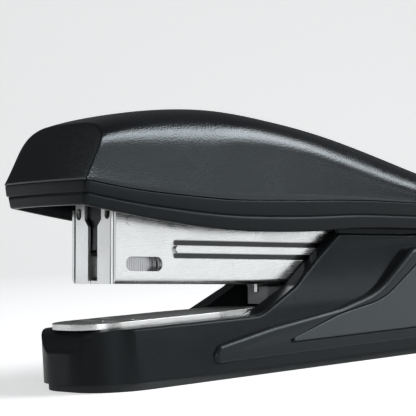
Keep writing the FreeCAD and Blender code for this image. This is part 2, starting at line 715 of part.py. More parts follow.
def cover_block(inset, front_inset):
    loft = Part.makeLoft([cover_section(x, inset) for x in SECTIONS], True, False)
    tall = plan_face(inset, front_inset)
    foot = rim_top(NOSE)
    # below the rim's front corner the prism is upright, above it follows the leaning facet
    lean = tall.extrude(V(LEAN * 40, 0, 40))
    lean.translate(V(0, 0, foot))
    upright = tall.extrude(V(0, 0, 60))
    upright.translate(V(0, 0, -5))
    blunt = lean.fuse(Part.makeBox(200, 60, 60, V(20, -30, foot)))
    low = Part.makeBox(240, 60, foot + 10, V(-40, -30, -10))
    return loft.common(upright).common(blunt.fuse(low))


BOSSES = (24.0, 96.0)


def top_cover():
    outer = cover_block(0.0, 0.0)
    wall = D["cover_wall"]
    inner = cover_block(wall, wall)
    shell = outer.cut(inner)
    top_of_arm = D["arm_up"] + D["arm_thick"]
    for x in BOSSES:
        post = Part.makeCylinder(3.4, 30, V(x, 0, top_of_arm))
        post = post.common(outer).cut(Part.makeCylinder(1.5, 5.5, V(x, 0, top_of_arm - 0.5)))
        shell = shell.fuse(post)
    shell = shell.cut(under(rim_top, 0.3))
    return shape_node("top_cover", shell, TILT_PLACE)


def ring_line(inset, height):
    """The handle's plan outline at an inset, lifted to height(x): one edge for each stretch."""
    outline = plan_face(inset, inset * 0.45).OuterWire
    edges = []
    for edge in outline.OrderedEdges:
        steps = 12 if edge.Length > 12 else 5
        points = edge.discretize(steps + 1)
        edges.append([V(p.x, p.y, height(p.x)) for p in points])
    for i, points in enumerate(edges):
        points[-1] = edges[(i + 1) % len(edges)][0]
    return [spline(points) for points in edges]


def rim_band():
    def middle(x):
        return (rim_top(x) + rim_bottom(x)) / 2

    lines = [
        ring_line(0.0, rim_top), ring_line(0.35, lambda x: middle(x) + 0.15),
        ring_line(0.85, lambda x: middle(x) - 0.15), ring_line(1.6, rim_bottom),
        ring_line(3.5, rim_bottom), ring_line(3.5, rim_top),
    ]
    faces = []
    for i, line in enumerate(lines):
        following = lines[(i + 1) % len(lines)]
        faces += [Part.makeRuledSurface(a, b) for a, b in zip(line, following)]
    shell = Part.Shell(faces)
    shell.sewShape()
    solid = Part.Solid(shell)
    if solid.Volume < 0:
        solid.reverse()
    return shape_node("rim_band", solid, TILT_PLACE)


def press_arm():
    body = new_body("press_arm", TILT_PLACE)
    low, high = D["arm_up"], D["arm_up"] + D["arm_thick"]
    pin = (D["pin_x"], D["pin_up"])
    side = [
        (2.6, 22.5, 1), (100, 20, 6), (112, pin[1] - 5.5, 5), (pin[0] + 5.5, pin[1] - 5.5, 5.4),
        (pin[0] + 5.5, pin[1] + 5.5, 5.4), (112, 22, 4), (107, high, 3), (2.6, high, 1),
    ]
    hole = pin_hole()
    pad(body, "XZ_Plane", [side, hole], "arm_width", middle=True)
    inside = [(-10, 0), (150, 0), (150, 21), (110, 21), (105.5, low, 1), (-10, low)]
    pocket(body, "XZ_Plane", [inside], "arm_inner", middle=True)
    pocket(body, "XZ_Plane", [box_outline(109, 15, 150, 40)], "arm_inner", middle=True)
    for x in BOSSES:
        pocket(body, "XY_Plane", [("circle", x, 0, 1.55)], "5", offset=30)
    pocket(body, "XY_Plane", [("circle", 6.2, y, 1.2) for y in (-4, 4)], "5", offset=30)
    return body


def driver_blade():
    body = new_body("driver_blade", TILT_PLACE)
    tilt = math.tan(math.radians(1.75))
    tip, top = 8.4, D["arm_up"] - 0.02
    at = {z: 1.75 + (z - 20) * tilt for z in (tip, top)}
    side = [
        (at[tip] - 0.3, tip), (at[tip] + 0.3, tip), (at[top] + 0.25, top - 0.6, 0.4), (9.5, top - 0.6),
        (9.5, top), (at[top] - 0.35, top, 0.9),
    ]
    pad(body, "XZ_Plane", [side], "blade_width", middle=True)
    pocket(body, "XY_Plane", [("circle", 6.2, y, 1.2) for y in (-4, 4)], "5", offset=30)
    return body


def driver_rivet(name, side):
    body = new_body("driver_rivet_" + name, TILT_PLACE)
    spot = (6.2, side * 4)
    low = D["arm_up"] - 0.62
    pad(body, "XY_Plane", [("circle", spot[0], spot[1], 1.2)], "1.62", offset=low)
    pad(body, "XY_Plane", [("circle", spot[0], spot[1], 2.0)], "0.6", offset=low - 0.6)
    return body


def cover_screw(name, x):
    body = new_body("cover_screw_" + name, TILT_PLACE)
    low = D["arm_up"]
    pad(body, "XY_Plane", [("circle", x, 0, 1.5)], "5.8", offset=low)
    pad(body, "XY_Plane", [("circle", x, 0, 2.8)], "1.5", offset=low - 1.5)
    for bar in (box_outline(x - 1.8, -0.4, x + 1.8, 0.4), box_outline(x - 0.4, -1.8, x + 0.4, 1.8)):
        pocket(body, "XY_Plane", [bar], "0.9", offset=low - 1.5, reverse=True)
    return body


# ---------------------------------------------------------------- build, test and write every sub-part
shell_node = base_shell()
nodes = [
    sole_pad(), shell_node, base_frame(), hinge_pin(), lift_spring(), anvil_plate(), anvil_disc(),
    anvil_button(), anvil_spring(), magazine_channel(), magazine_sleeve(), core_rail(), guide_rod(),
    rod_holder("front", 5.4), rod_holder("rear", 113.9), pusher(), pusher_spring(), staple_strip(),
    hinge_bush(), spring_seat(), spring_housing(), spring_bridge(), handle_spring(), top_cover(), rim_band(), press_arm(),
    driver_blade(), cover_screw("front", BOSSES[0]), cover_screw("rear", BOSSES[1]),
]
nodes += [base_screw(i + 1, spot) for i, spot in enumerate(SCREW_SPOTS)]
for name, side in SIDES:
    nodes += [
        side_wing(name, side, shell_node), side_panel(name, side), pin_clip(name, side),
        sleeve_rivet(name, side), driver_rivet(name, side),
    ]
doc.recompute()

for item in doc.Objects:
    assert "Invalid" not in item.State and "Error" not in item.State, item.Label
os.makedirs("parts", exist_ok=True)
for node in nodes:
    shape = node.Shape
    assert not shape.isNull() and shape.isValid(), node.Label + " is not a sound shape"
    shape.exportStep("parts/" + node.Label + ".step")
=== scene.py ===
import json
import math

import bmesh
import bpy
from mathutils import Matrix, Vector

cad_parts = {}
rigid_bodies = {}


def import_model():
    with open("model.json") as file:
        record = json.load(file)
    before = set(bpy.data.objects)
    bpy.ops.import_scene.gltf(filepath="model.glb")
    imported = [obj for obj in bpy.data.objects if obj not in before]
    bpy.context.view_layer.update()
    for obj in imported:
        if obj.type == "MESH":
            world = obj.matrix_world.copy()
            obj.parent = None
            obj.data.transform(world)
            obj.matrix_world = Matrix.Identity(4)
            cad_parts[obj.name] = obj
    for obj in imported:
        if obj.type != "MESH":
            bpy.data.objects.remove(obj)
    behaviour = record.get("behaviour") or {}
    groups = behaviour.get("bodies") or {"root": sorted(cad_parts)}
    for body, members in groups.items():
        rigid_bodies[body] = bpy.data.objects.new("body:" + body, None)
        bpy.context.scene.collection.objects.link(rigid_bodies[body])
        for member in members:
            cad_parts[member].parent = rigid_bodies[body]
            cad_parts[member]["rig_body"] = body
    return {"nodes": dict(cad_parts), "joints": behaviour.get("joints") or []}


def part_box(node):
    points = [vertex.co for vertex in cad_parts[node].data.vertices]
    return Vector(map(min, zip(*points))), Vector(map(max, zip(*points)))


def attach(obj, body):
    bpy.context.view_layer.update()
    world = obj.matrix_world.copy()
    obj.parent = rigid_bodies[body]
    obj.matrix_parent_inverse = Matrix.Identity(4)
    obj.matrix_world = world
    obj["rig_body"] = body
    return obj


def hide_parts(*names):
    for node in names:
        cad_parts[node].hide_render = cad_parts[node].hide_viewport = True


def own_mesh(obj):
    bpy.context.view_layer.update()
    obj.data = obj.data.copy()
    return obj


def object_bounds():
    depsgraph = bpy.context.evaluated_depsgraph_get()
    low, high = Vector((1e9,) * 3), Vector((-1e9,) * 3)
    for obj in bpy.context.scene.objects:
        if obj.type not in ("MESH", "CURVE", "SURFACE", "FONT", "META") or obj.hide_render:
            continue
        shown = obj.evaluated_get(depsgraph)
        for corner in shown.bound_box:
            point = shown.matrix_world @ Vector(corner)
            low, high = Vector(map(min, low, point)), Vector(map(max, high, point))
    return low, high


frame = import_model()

cad_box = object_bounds()
MM = 0.001

# ---------------------------------------------------------------- where the raised parts sit
joints = {j["name"]: j for j in frame["joints"]}
PIN = Vector(joints["handle_pivot"]["pos_m"])
ALONG = Vector(joints["pusher_slide"]["axis"])
ACROSS = Vector((0, 1, 0))
UP = Vector((-ALONG.z, 0, ALONG.x))
PIN_X, PIN_UP = 125.0, 12.0                 # the hinge pin in the raised parts' own frame, mm


def raised(x, y, z):
    """Row position of a point of the magazine and handle, given in mm from the front plate's foot."""
    return PIN + (ALONG * (x - PIN_X) + ACROSS * y + UP * (z - PIN_UP)) * MM


# ---------------------------------------------------------------- materials
def new_material(name, colour, metallic=0.0, roughness=0.5, **sockets):
    mat = bpy.data.materials.new(name)
    mat.use_nodes = True
    shader = mat.node_tree.nodes["Principled BSDF"]
    shader.inputs["Base Color"].default_value = (*colour, 1)
    shader.inputs["Metallic"].default_value = metallic
    shader.inputs["Roughness"].default_value = roughness
    for key, value in sockets.items():
        shader.inputs[key.replace("_", " ")].default_value = value
    return mat, mat.node_tree, shader


class Nodes:
    """Short names for the nodes that the procedural materials are made of."""

    def __init__(self, tree):
        self.tree = tree
        self.coord = tree.nodes.new("ShaderNodeTexCoord").outputs["Object"]

    def link(self, a, b):
        self.tree.links.new(a, b)

    def scaled(self, scale):
        node = self.tree.nodes.new("ShaderNodeMapping")
        node.inputs["Scale"].default_value = scale
        self.link(self.coord, node.inputs["Vector"])
        return node.outputs["Vector"]

    def noise(self, scale, detail, stretch=None, roughness=0.5):
        node = self.tree.nodes.new("ShaderNodeTexNoise")
        node.inputs["Scale"].default_value = scale
        node.inputs["Detail"].default_value = detail
        node.inputs["Roughness"].default_value = roughness
        self.link(self.scaled(stretch) if stretch else self.coord, node.inputs["Vector"])
        return node.outputs["Fac"]

    def cells(self, scale):
        node = self.tree.nodes.new("ShaderNodeTexVoronoi")
        node.inputs["Scale"].default_value = scale
        self.link(self.coord, node.inputs["Vector"])
        return node.outputs["Distance"]

    def remap(self, value, low, high, to_low, to_high):
        node = self.tree.nodes.new("ShaderNodeMapRange")
        for key, number in zip(("From Min", "From Max", "To Min", "To Max"), (low, high, to_low, to_high)):
            node.inputs[key].default_value = number
        self.link(value, node.inputs["Value"])
        return node.outputs["Result"]

    def maths(self, operation, a, b):
        node = self.tree.nodes.new("ShaderNodeMath")
        node.operation = operation
        for socket, value in zip(node.inputs, (a, b)):
            if isinstance(value, (int, float)):
                socket.default_value = value
            else:
                self.link(value, socket)
        return node.outputs["Value"]

    def mix(self, factor, dark, light):
        node = self.tree.nodes.new("ShaderNodeMix")
        node.data_type = "RGBA"
        for socket, colour in ((node.inputs[6], dark), (node.inputs[7], light)):
            if isinstance(colour, tuple):
                socket.default_value = (*colour, 1)
            else:
                self.link(colour, socket)
        self.link(factor, node.inputs[0])
        return node.outputs[2]

    def bump(self, height, strength, distance):
        node = self.tree.nodes.new("ShaderNodeBump")
        node.inputs["Strength"].default_value = strength
        node.inputs["Distance"].default_value = distance
        self.link(height, node.inputs["Height"])
        return node.outputs["Normal"]

    def along(self, start, direction):
        """Distance from a point of the row along a direction."""
        node = self.tree.nodes.new("ShaderNodeVectorMath")
        node.operation = "DOT_PRODUCT"
        self.link(self.coord, node.inputs[0])
        node.inputs[1].default_value = direction
        return self.maths("SUBTRACT", node.outputs["Value"], start.dot(direction))

    def edge_wear(self):
        geometry = self.tree.nodes.new("ShaderNodeNewGeometry")
        return self.remap(geometry.outputs["Pointiness"], 0.52, 0.6, 0, 1)


PLASTIC_TINT = (0.86, 0.96, 1.0, 1.0)       # the plastics' gloss is slightly cool
GLOSS_SPREAD = 0.12                         # how much the plastics' roughness varies
WEAR = 0.25                                 # how far the plastics' edges are worn pale
GRAIN_HEIGHT, BRUSH_HEIGHT = 0.06 * MM, 0.03 * MM
# near-black colour of the painted shade in the sleeve's groove
GROOVE_SHADE_COLOUR = (0.008, 0.0085, 0.009)


def grained(name, dark, light, roughness, grain, depth, specular=0.5):
    """Moulded plastic: fine grain in relief, slow patches of gloss and worn edges."""
    mat, tree, shader = new_material(name, light, roughness=roughness, Specular_IOR_Level=specular,
                                     Specular_Tint=PLASTIC_TINT)
    n = Nodes(tree)
    patches = n.noise(38, 4)
    fine = n.noise(grain, 2.5, roughness=0.6)
    pits = n.cells(grain * 0.62)
    worn = n.maths("MULTIPLY", n.edge_wear(), WEAR)
    tone = n.maths("ADD", n.remap(fine, 0.3, 0.7, 0.0, 0.6), n.remap(patches, 0.3, 0.7, 0.0, 0.4))
    colour = n.mix(tone, dark, light)
    paler = tuple(min(c * 2.2 + 0.01, 1) for c in light)
    n.link(n.mix(worn, colour, paler), shader.inputs["Base Color"])
    dull, shiny = roughness + GLOSS_SPREAD / 2, roughness - GLOSS_SPREAD / 2
    gloss = n.maths("ADD", n.remap(patches, 0.3, 0.7, shiny, dull), n.remap(fine, 0.3, 0.7, -0.04, 0.04))
    n.link(gloss, shader.inputs["Roughness"])
    relief = n.maths("ADD", fine, n.remap(pits, 0.0, 0.6, -0.4, 0.4))
    n.link(n.bump(relief, depth, GRAIN_HEIGHT), shader.inputs["Normal"])
    return mat


def brushed(name, dark, light, roughness, stretch, depth=0.3, shade_mask=None):
    """Plated or bare metal with brush lines along one direction, faint smudges and small specks; an optional
    mask paints shade into the colour.
    """
    mat, tree, shader = new_material(name, light, metallic=1.0, roughness=roughness)
    n = Nodes(tree)
    lines = n.noise(1.0, 4, stretch=stretch, roughness=0.65)
    smudge = n.noise(55, 4, roughness=0.55)
    speck = n.noise(900, 2)
    tone = n.maths("ADD", n.remap(lines, 0.3, 0.7, 0.0, 0.65), n.remap(smudge, 0.35, 0.65, 0.0, 0.35))
    colour = n.mix(tone, dark, light)
    # painted shade: where the mask is high, the colour is darkened towards the near-black shade colour
    if shade_mask:
        colour = n.mix(shade_mask(n), colour, GROOVE_SHADE_COLOUR)
    n.link(colour, shader.inputs["Base Color"])
    gloss = n.maths("ADD", n.remap(lines, 0.3, 0.7, roughness - 0.06, roughness + 0.07),
                    n.remap(smudge, 0.35, 0.65, -0.05, 0.06))
    n.link(gloss, shader.inputs["Roughness"])
    relief = n.maths("ADD", lines, n.maths("MULTIPLY", speck, 0.2))
    n.link(n.bump(relief, depth, BRUSH_HEIGHT), shader.inputs["Normal"])
    return mat


# how the noise is stretched into brush lines along the row, finer ones, and upright ones
HORIZONTAL, FINE_HORIZONTAL, VERTICAL = (60, 4000, 4000), (110, 5500, 5500), (2500, 2500, 90)
looks = {
    "cover_grain": grained("cover_grain_look", (0.003, 0.0035, 0.0045), (0.0075, 0.0088, 0.010),
                           0.22, 3000, 0.6, specular=0.4),
    "rim_satin": grained("rim_satin_look", (0.007, 0.008, 0.009), (0.010, 0.0115, 0.0125),
                         0.38, 1500, 0.12, specular=0.12),
    "base_satin": grained("base_satin_look", (0.007, 0.008, 0.009), (0.011, 0.0123, 0.0133),
                          0.34, 1700, 0.12, specular=0.1),
    "wing_satin": grained("wing_satin_look", (0.009, 0.010, 0.011), (0.013, 0.0145, 0.0155),
                          0.36, 1700, 0.14, specular=0.2),
    "panel_soft": grained("panel_soft_look", (0.017, 0.019, 0.0205), (0.024, 0.0265, 0.0285),
                          0.50, 1300, 0.35),
    "sole_rubber": grained("sole_rubber_look", (0.010, 0.010, 0.010), (0.018, 0.018, 0.018), 0.75, 900, 0.5),
    "housing_grey": grained("housing_grey_look", (0.20, 0.205, 0.21), (0.27, 0.275, 0.28), 0.55, 1600, 0.8),
    "pusher_black": grained("pusher_black_look", (0.012, 0.012, 0.013), (0.02, 0.02, 0.021), 0.42, 1500, 0.2),
    "frame_steel": brushed("frame_steel_look", (0.42, 0.42, 0.42), (0.58, 0.58, 0.57), 0.36, HORIZONTAL),
    "anvil_steel": brushed("anvil_steel_look", (0.48, 0.48, 0.475), (0.64, 0.64, 0.63), 0.30, HORIZONTAL),
    "driver_steel": brushed("driver_steel_look", (0.035, 0.036, 0.038), (0.06, 0.062, 0.065), 0.42, VERTICAL),
    "spring_steel": brushed("spring_steel_look", (0.38, 0.37, 0.36), (0.52, 0.51, 0.5), 0.30, HORIZONTAL),
    "pin_steel": brushed("pin_steel_look", (0.5, 0.5, 0.5), (0.66, 0.66, 0.66), 0.26, VERTICAL),
    "staple_wire": brushed("staple_wire_look", (0.28, 0.28, 0.29), (0.40, 0.40, 0.41), 0.28, VERTICAL),
    "screw_zinc": brushed("screw_zinc_look", (0.5, 0.51, 0.53), (0.62, 0.63, 0.66), 0.34, HORIZONTAL),
}


GROOVE_FRONT, GROOVE_UP = 17.3, 8.7         # front end and middle height of the sleeve's groove, mm
GROOVE_HALF, RIB_HALF = 2.4, 0.9            # half heights of the groove and of the rib inside it, mm


def groove_painted_shade(n):
    """Painted shade on the floor of the long groove in the sleeve's sides, beside the rib. It stands in for
    the dark reflections and shade of the groove's steep walls.
    """
    start = raised(GROOVE_FRONT, 0, GROOVE_UP)
    off = n.maths("ABSOLUTE", n.along(start, UP), 0)
    inner = n.remap(off, RIB_HALF * MM, (RIB_HALF + 0.15) * MM, 0, 1)
    outer = n.remap(off, (GROOVE_HALF - 0.2) * MM, (GROOVE_HALF - 0.02) * MM, 0.94, 0)
    begins = n.remap(n.along(start, ALONG), 0.9 * MM, 1.6 * MM, 0, 1)
    return n.maths("MULTIPLY", n.maths("MULTIPLY", inner, outer), begins)


# the sleeve's nickel, with painted shade in the colour of its groove floor
looks["sheet_nickel"] = brushed("sleeve_nickel_look", (0.46, 0.465, 0.465), (0.57, 0.57, 0.565), 0.26,
                                FINE_HORIZONTAL, depth=0.09, shade_mask=groove_painted_shade)
upright_nickel = brushed("upright_nickel_look", (0.60, 0.605, 0.605), (0.76, 0.76, 0.755), 0.36, VERTICAL)

slot_of = {}
for name, node in frame["nodes"].items():
    slot_of[name] = node.data.materials[0].name.split(".")[0]
    for place in node.material_slots:
        place.material = looks[slot_of[name]]
    for face in node.data.polygons:
        face.use_smooth = True


# ---------------------------------------------------------------- making pieces
def add_piece(name, mesh, body, slot, replaced, material=None):
    """Puts a mesh in the scene on its body and in its slot, in place of the nodes in replaced."""
    piece = bpy.data.objects.new(name, mesh)
    bpy.context.scene.collection.objects.link(piece)
    mesh.materials.append(material or looks[slot])
    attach(piece, body)
    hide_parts(*replaced)
    return piece


def mesh_of(name, bm):
    bmesh.ops.recalc_face_normals(bm, faces=bm.faces)
    mesh = bpy.data.meshes.new(name)
    bm.to_mesh(mesh)
    bm.free()
    for face in mesh.polygons:
        face.use_smooth = True
    return mesh


def apply_modifiers(piece):
    """Bakes the piece's modifiers into its mesh."""
    depsgraph = bpy.context.evaluated_depsgraph_get()
    mesh = bpy.data.meshes.new_from_object(piece.evaluated_get(depsgraph), depsgraph=depsgraph)
    piece.modifiers.clear()
    piece.data = mesh


def dressed(node, bevel, segments=2, angle=28, material=None):
    """A copy of a CAD node with its sharp edges broken, which stands for the node."""
    source = frame["nodes"][node]
    bm = bmesh.new()
    bm.from_mesh(source.data)
    bmesh.ops.remove_doubles(bm, verts=bm.verts, dist=0.002 * MM)
    bmesh.ops.dissolve_limit(bm, angle_limit=math.radians(0.6), verts=bm.verts, edges=bm.edges)
    mesh = mesh_of(node + "_made", bm)
    piece = add_piece(node + "_made", mesh, source["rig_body"], slot_of[node], (node,), material)
    mod = piece.modifiers.new("edges", "BEVEL")
    mod.width = bevel * MM
    mod.segments = segments
    mod.limit_method = "ANGLE"
    mod.angle_limit = math.radians(angle)
    mod.use_clamp_overlap = True
    even = piece.modifiers.new("shading", "WEIGHTED_NORMAL")
    even.weight, even.thresh = 100, 0.001


# ---------------------------------------------------------------- the handle's lines, in mm
def smooth(points):
    """A smooth curve through the points, as a function of its first coordinate."""
    slopes = []
    for i in range(len(points)):
        low, high = points[max(i - 1, 0)], points[min(i + 1, len(points) - 1)]
        slopes.append((high[1] - low[1]) / (high[0] - low[0]))

    def value(x):
        i = next((k for k in range(1, len(points) - 1) if x < points[k][0]), len(points) - 1)
        (x0, y0), (x1, y1) = points[i - 1], points[i]
        run = x1 - x0
        t = min(max((x - x0) / run, 0.0), 1.0)
        return (
            y0 * (2 * t**3 - 3 * t**2 + 1)
            + slopes[i - 1] * run * (t**3 - 2 * t**2 + t)
            + y1 * (3 * t**2 - 2 * t**3)
            + slopes[i] * run * (t**3 - t**2)
        )

    return value


rim_top = smooth([(-16, 24.5), (-1.5, 22.7), (13, 21.7), (32, 21.0), (53, 21.5), (80, 22.3), (141, 21.6)])
rim_bottom = smooth([(-16, 19.0), (-0.5, 16.7), (11, 15.3), (26, 13.9), (42, 13.4), (60, 13.8), (76, 14.9),
                     (97, 15.2), (141, 15.0)])
crest = smooth([(-22, 33.0), (-8.5, 38.9), (4, 42.1), (20, 44.3), (34, 44.8), (52, 43.4), (70, 41.1),
                (88, 37.5), (107, 32.7), (124, 28.2), (142, 24.0)])
shoulder_share = smooth([(-16, 0.46), (21, 0.47), (39, 0.54), (57, 0.53), (74, 0.4), (96, 0.215),
                         (118, 0.08), (142, 0.0)])
boxiness = smooth([(-16, 3.7), (-6, 3.4), (6, 3.0), (20, 2.7), (39, 2.5), (57, 2.2), (74, 2.0), (96, 1.85),
                   (142, 1.85)])
NOSE, BOW, LEAN = -14.8, 0.7, 0.5           # the front edge, its bulge and the facet's slope
HALF, WAIST_PULL = 17.5, 0.45               # half width and how far the side curves inwards
REAR_END, REAR_CORNER = 140.0, 9.0
SEAM = 0.3                                  # gap between the rim and the cover
FOOT = rim_top(NOSE)
CREASE, REAR_ROUND = 0.4, 1.3               # how far the crease and the rear edge are rounded
ROUND_STEPS = 5
SIDE_STEPS, ARC_STEPS = 7, 56               # steps up each side and over the crest
COUNT = 2 * SIDE_STEPS + ARC_STEPS
LENGTH_STEPS, FACET_COLUMNS = 96, 20
COVER_WALL = 1.6
ARM_TOP = 28.02                             # top face of the press arm
POST_PLACES, POST_SHORT = (24.0, 96.0), 0.9
POST_RADIUS, POST_BORE, POST_SIDES = 3.4, 1.5, 32


def section_point(x, v):
    """(across, up) on the cover's section at x; v runs from 0 at one foot over the crest to 1."""
    low, top = rim_top(x) + SEAM, crest(x)
    share = max(shoulder_share(x), 0.02)
    turn = low + share * (top - low)
    pull = WAIST_PULL * min(share / 0.35, 1.0)
    side = SIDE_STEPS / COUNT
    sign = -1 if v < 0.5 else 1
    w = min(v, 1 - v)
    if w <= side:
        s = w / side
        return sign * (HALF - pull * (2 * s - s * s)), low + (turn - low) * s
    angle = (w - side) / (0.5 - side) * math.pi / 2
    p = boxiness(x)
    c, s = math.cos(angle), math.sin(angle)
    r = (abs(c) ** p + abs(s) ** p) ** (-1 / p)
    return sign * (HALF - pull) * r * c, turn + (top - turn) * r * s


def front_x(y, z):
    """Place of the front facet's face, which bulges a little and leans back."""
    return NOSE - BOW * (1 - (y / HALF) ** 2) + LEAN * max(z - FOOT, 0.0)


def rear_x(y):
    """Place of the rear wall, with its rounded corners."""
    over = abs(y) - (HALF - REAR_CORNER)
    return REAR_END if over <= 0 else REAR_END - REAR_CORNER + math.sqrt(max(REAR_CORNER**2 - over**2, 0.0))


def skin_point(u, v):
    """A point of the cover's outer skin; u runs from the front facet to the rear wall."""
    x = NOSE + u * (REAR_END - NOSE)
    for _ in range(12):
        y, z = section_point(x, v)
        x = front_x(y, z) * (1 - u) + rear_x(y) * u
    return x, y, z


def rounding(first, corner, last):
    """Points strictly between first and last, on a curve that is pulled towards the corner."""
    points = []
    for i in range(1, ROUND_STEPS):
        t = i / ROUND_STEPS
        points.append(first * (1 - t) ** 2 + corner * 2 * t * (1 - t) + last * t * t)
    return points


def add_post(bm, x, top):
    """A hollow screw post under the cover's roof, standing on the press arm."""
    rings = []
    outline = ((POST_RADIUS, ARM_TOP), (POST_RADIUS, top), (POST_BORE, top), (POST_BORE, ARM_TOP))
    for radius, z in outline:
        ring = []
        for i in range(POST_SIDES):
            a = 2 * math.pi * i / POST_SIDES
            ring.append(bm.verts.new(raised(x + radius * math.cos(a), radius * math.sin(a), z)))
        rings.append(ring)
    for a, b in zip(rings, rings[1:] + rings[:1]):
        for i in range(POST_SIDES):
            k = (i + 1) % POST_SIDES
            face = bm.faces.new((a[i], a[k], b[k], b[i]))
            face.smooth = abs(a[0].co.z - b[0].co.z) > MM


def cover_rows():
    """Rows of points over the cover's skin, from the facet's edge to the rear wall's foot."""
    length = REAR_END - NOSE
    between = 1 - (CREASE + REAR_ROUND) / length
    runs = [CREASE / length + between * i / LENGTH_STEPS for i in range(LENGTH_STEPS + 1)]
    grid = [[Vector(skin_point(u, j / COUNT)) for j in range(COUNT + 1)] for u in runs]
    edge = [Vector(skin_point(0.0, j / COUNT)) for j in range(COUNT + 1)]
    last = [Vector(skin_point(1.0, j / COUNT)) for j in range(COUNT + 1)]

    # where the rounding ends on the front facet
    inner = []
    for j, point in enumerate(edge):
        before, after = edge[max(j - 1, 0)], edge[min(j + 1, COUNT)]
        run = Vector((0, after.y - before.y, after.z - before.z)).normalized()
        if j in (0, COUNT):
            run = Vector((0, 0, 1 if j == 0 else -1))
        y, z = point.y + run.z * CREASE, point.z - run.y * CREASE
        inner.append(Vector((front_x(y, z), y, z)))
    crease = [rounding(inner[j], edge[j], grid[0][j]) for j in range(COUNT + 1)]

    # the rounded rear edge and the wall under it
    foot = [Vector((p.x, p.y, rim_top(p.x) + SEAM)) for p in last]
    drop = [min(REAR_ROUND, (p.z - f.z) / 2) for p, f in zip(last, foot)]
    upper = [p - Vector((0, 0, d)) for p, d in zip(last, drop)]
    rear = [rounding(grid[-1][j], last[j], upper[j]) for j in range(COUNT + 1)]
    return [inner, *map(list, zip(*crease)), *grid, *map(list, zip(*rear)), upper, foot]


def fill_facet(bm, inner, edge):
    """Closes the front facet: level rows across it, and a strip of triangles under the crest."""
    middle = COUNT // 2
    last_row = max(j for j in range(middle) if inner[j].z < inner[middle].z - 0.8)
    facet = []
    for j in range(last_row + 1):
        y, z = inner[j].y, inner[j].z
        row = [edge[j]]
        for k in range(1, FACET_COLUMNS):
            across = y * (1 - 2 * k / FACET_COLUMNS)
            row.append(bm.verts.new(raised(front_x(across, z), across, z)))
        facet.append(row + [edge[COUNT - j]])
    for a, b in zip(facet, facet[1:]):
        for k in range(FACET_COLUMNS):
            bm.faces.new((a[k], b[k], b[k + 1], a[k + 1]))
    low, high = facet[-1], edge[last_row:COUNT - last_row + 1]
    i = k = 1
    bm.faces.new((low[0], low[1], high[1]))
    while i < len(low) - 2 or k < len(high) - 2:
        if k == len(high) - 2 or (i < len(low) - 2 and low[i + 1].co.y < high[k + 1].co.y):
            bm.faces.new((low[i], low[i + 1], high[k]))
            i += 1
        else:
            bm.faces.new((low[i], high[k + 1], high[k]))
            k += 1
    bm.faces.new((low[-2], low[-1], high[-2]))


def build_cover():
    bm = bmesh.new()
    rows = cover_rows()
    made = [[bm.verts.new(raised(*p)) for p in row] for row in rows]
    for a, b in zip(made, made[1:]):
        for j in range(COUNT):
            bm.faces.new((a[j], a[j + 1], b[j + 1], b[j]))
    fill_facet(bm, rows[0], made[0])
    bmesh.ops.remove_doubles(bm, verts=bm.verts, dist=0.01 * MM)
    piece = add_piece("cover_skin", mesh_of("cover_skin", bm), "handle", "cover_grain", ("top_cover",))
    thick = piece.modifiers.new("wall", "SOLIDIFY")
    thick.thickness, thick.offset = COVER_WALL * MM, -1
    apply_modifiers(piece)
    bm = bmesh.new()
    bm.from_mesh(piece.data)
    for x in POST_PLACES:
        add_post(bm, x, crest(x) - POST_SHORT)
    bm.to_mesh(piece.data)
    bm.free()


# ---------------------------------------------------------------- the rim
FRONT_STEPS, CORNER_STEPS, FLANK_STEPS, BEND_STEPS, REAR_STEPS = 24, 6, 60, 12, 8
RIM_CORNER = 1.2                            # the plan's small front corners


def plan_line(inset):
    """The handle's plan at an inset, as (x, y) corners all the way round, the same count for every inset."""
    half = HALF - inset
    flat = half - RIM_CORNER
    nose = NOSE + inset * 0.45
    points = []
    for i in range(FRONT_STEPS + 1):
        y = -flat + 2 * flat * i / FRONT_STEPS
        points.append((nose - BOW * (1 - (y / flat) ** 2), y))
    side_x = nose + RIM_CORNER
    for i in range(1, CORNER_STEPS + 1):
        a = math.pi / 2 * i / CORNER_STEPS
        points.append((side_x - RIM_CORNER * math.cos(a), flat + RIM_CORNER * math.sin(a)))
    bend = REAR_CORNER - inset
    rear = REAR_END - inset
    run, straight = rear - bend - side_x, half - bend
    for i in range(1, FLANK_STEPS + 1):
        points.append((side_x + run * i / FLANK_STEPS, half))
    corner = [points[-1]]
    for i in range(1, BEND_STEPS + 1):
        a = math.pi / 2 * i / BEND_STEPS
        corner.append((rear - bend + bend * math.sin(a), straight + bend * math.cos(a)))
    points += corner[1:]
    for i in range(1, REAR_STEPS + 1):
        points.append((rear, straight - 2 * straight * i / REAR_STEPS))
    points += [(x, -y) for x, y in corner[-2::-1]]
    for i in range(1, FLANK_STEPS + 1):
        points.append((rear - bend - run * i / FLANK_STEPS, -half))
    for i in range(1, CORNER_STEPS):
        a = math.pi / 2 * (1 - i / CORNER_STEPS)
        points.append((side_x - RIM_CORNER * math.cos(a), -flat - RIM_CORNER * math.sin(a)))
    return points


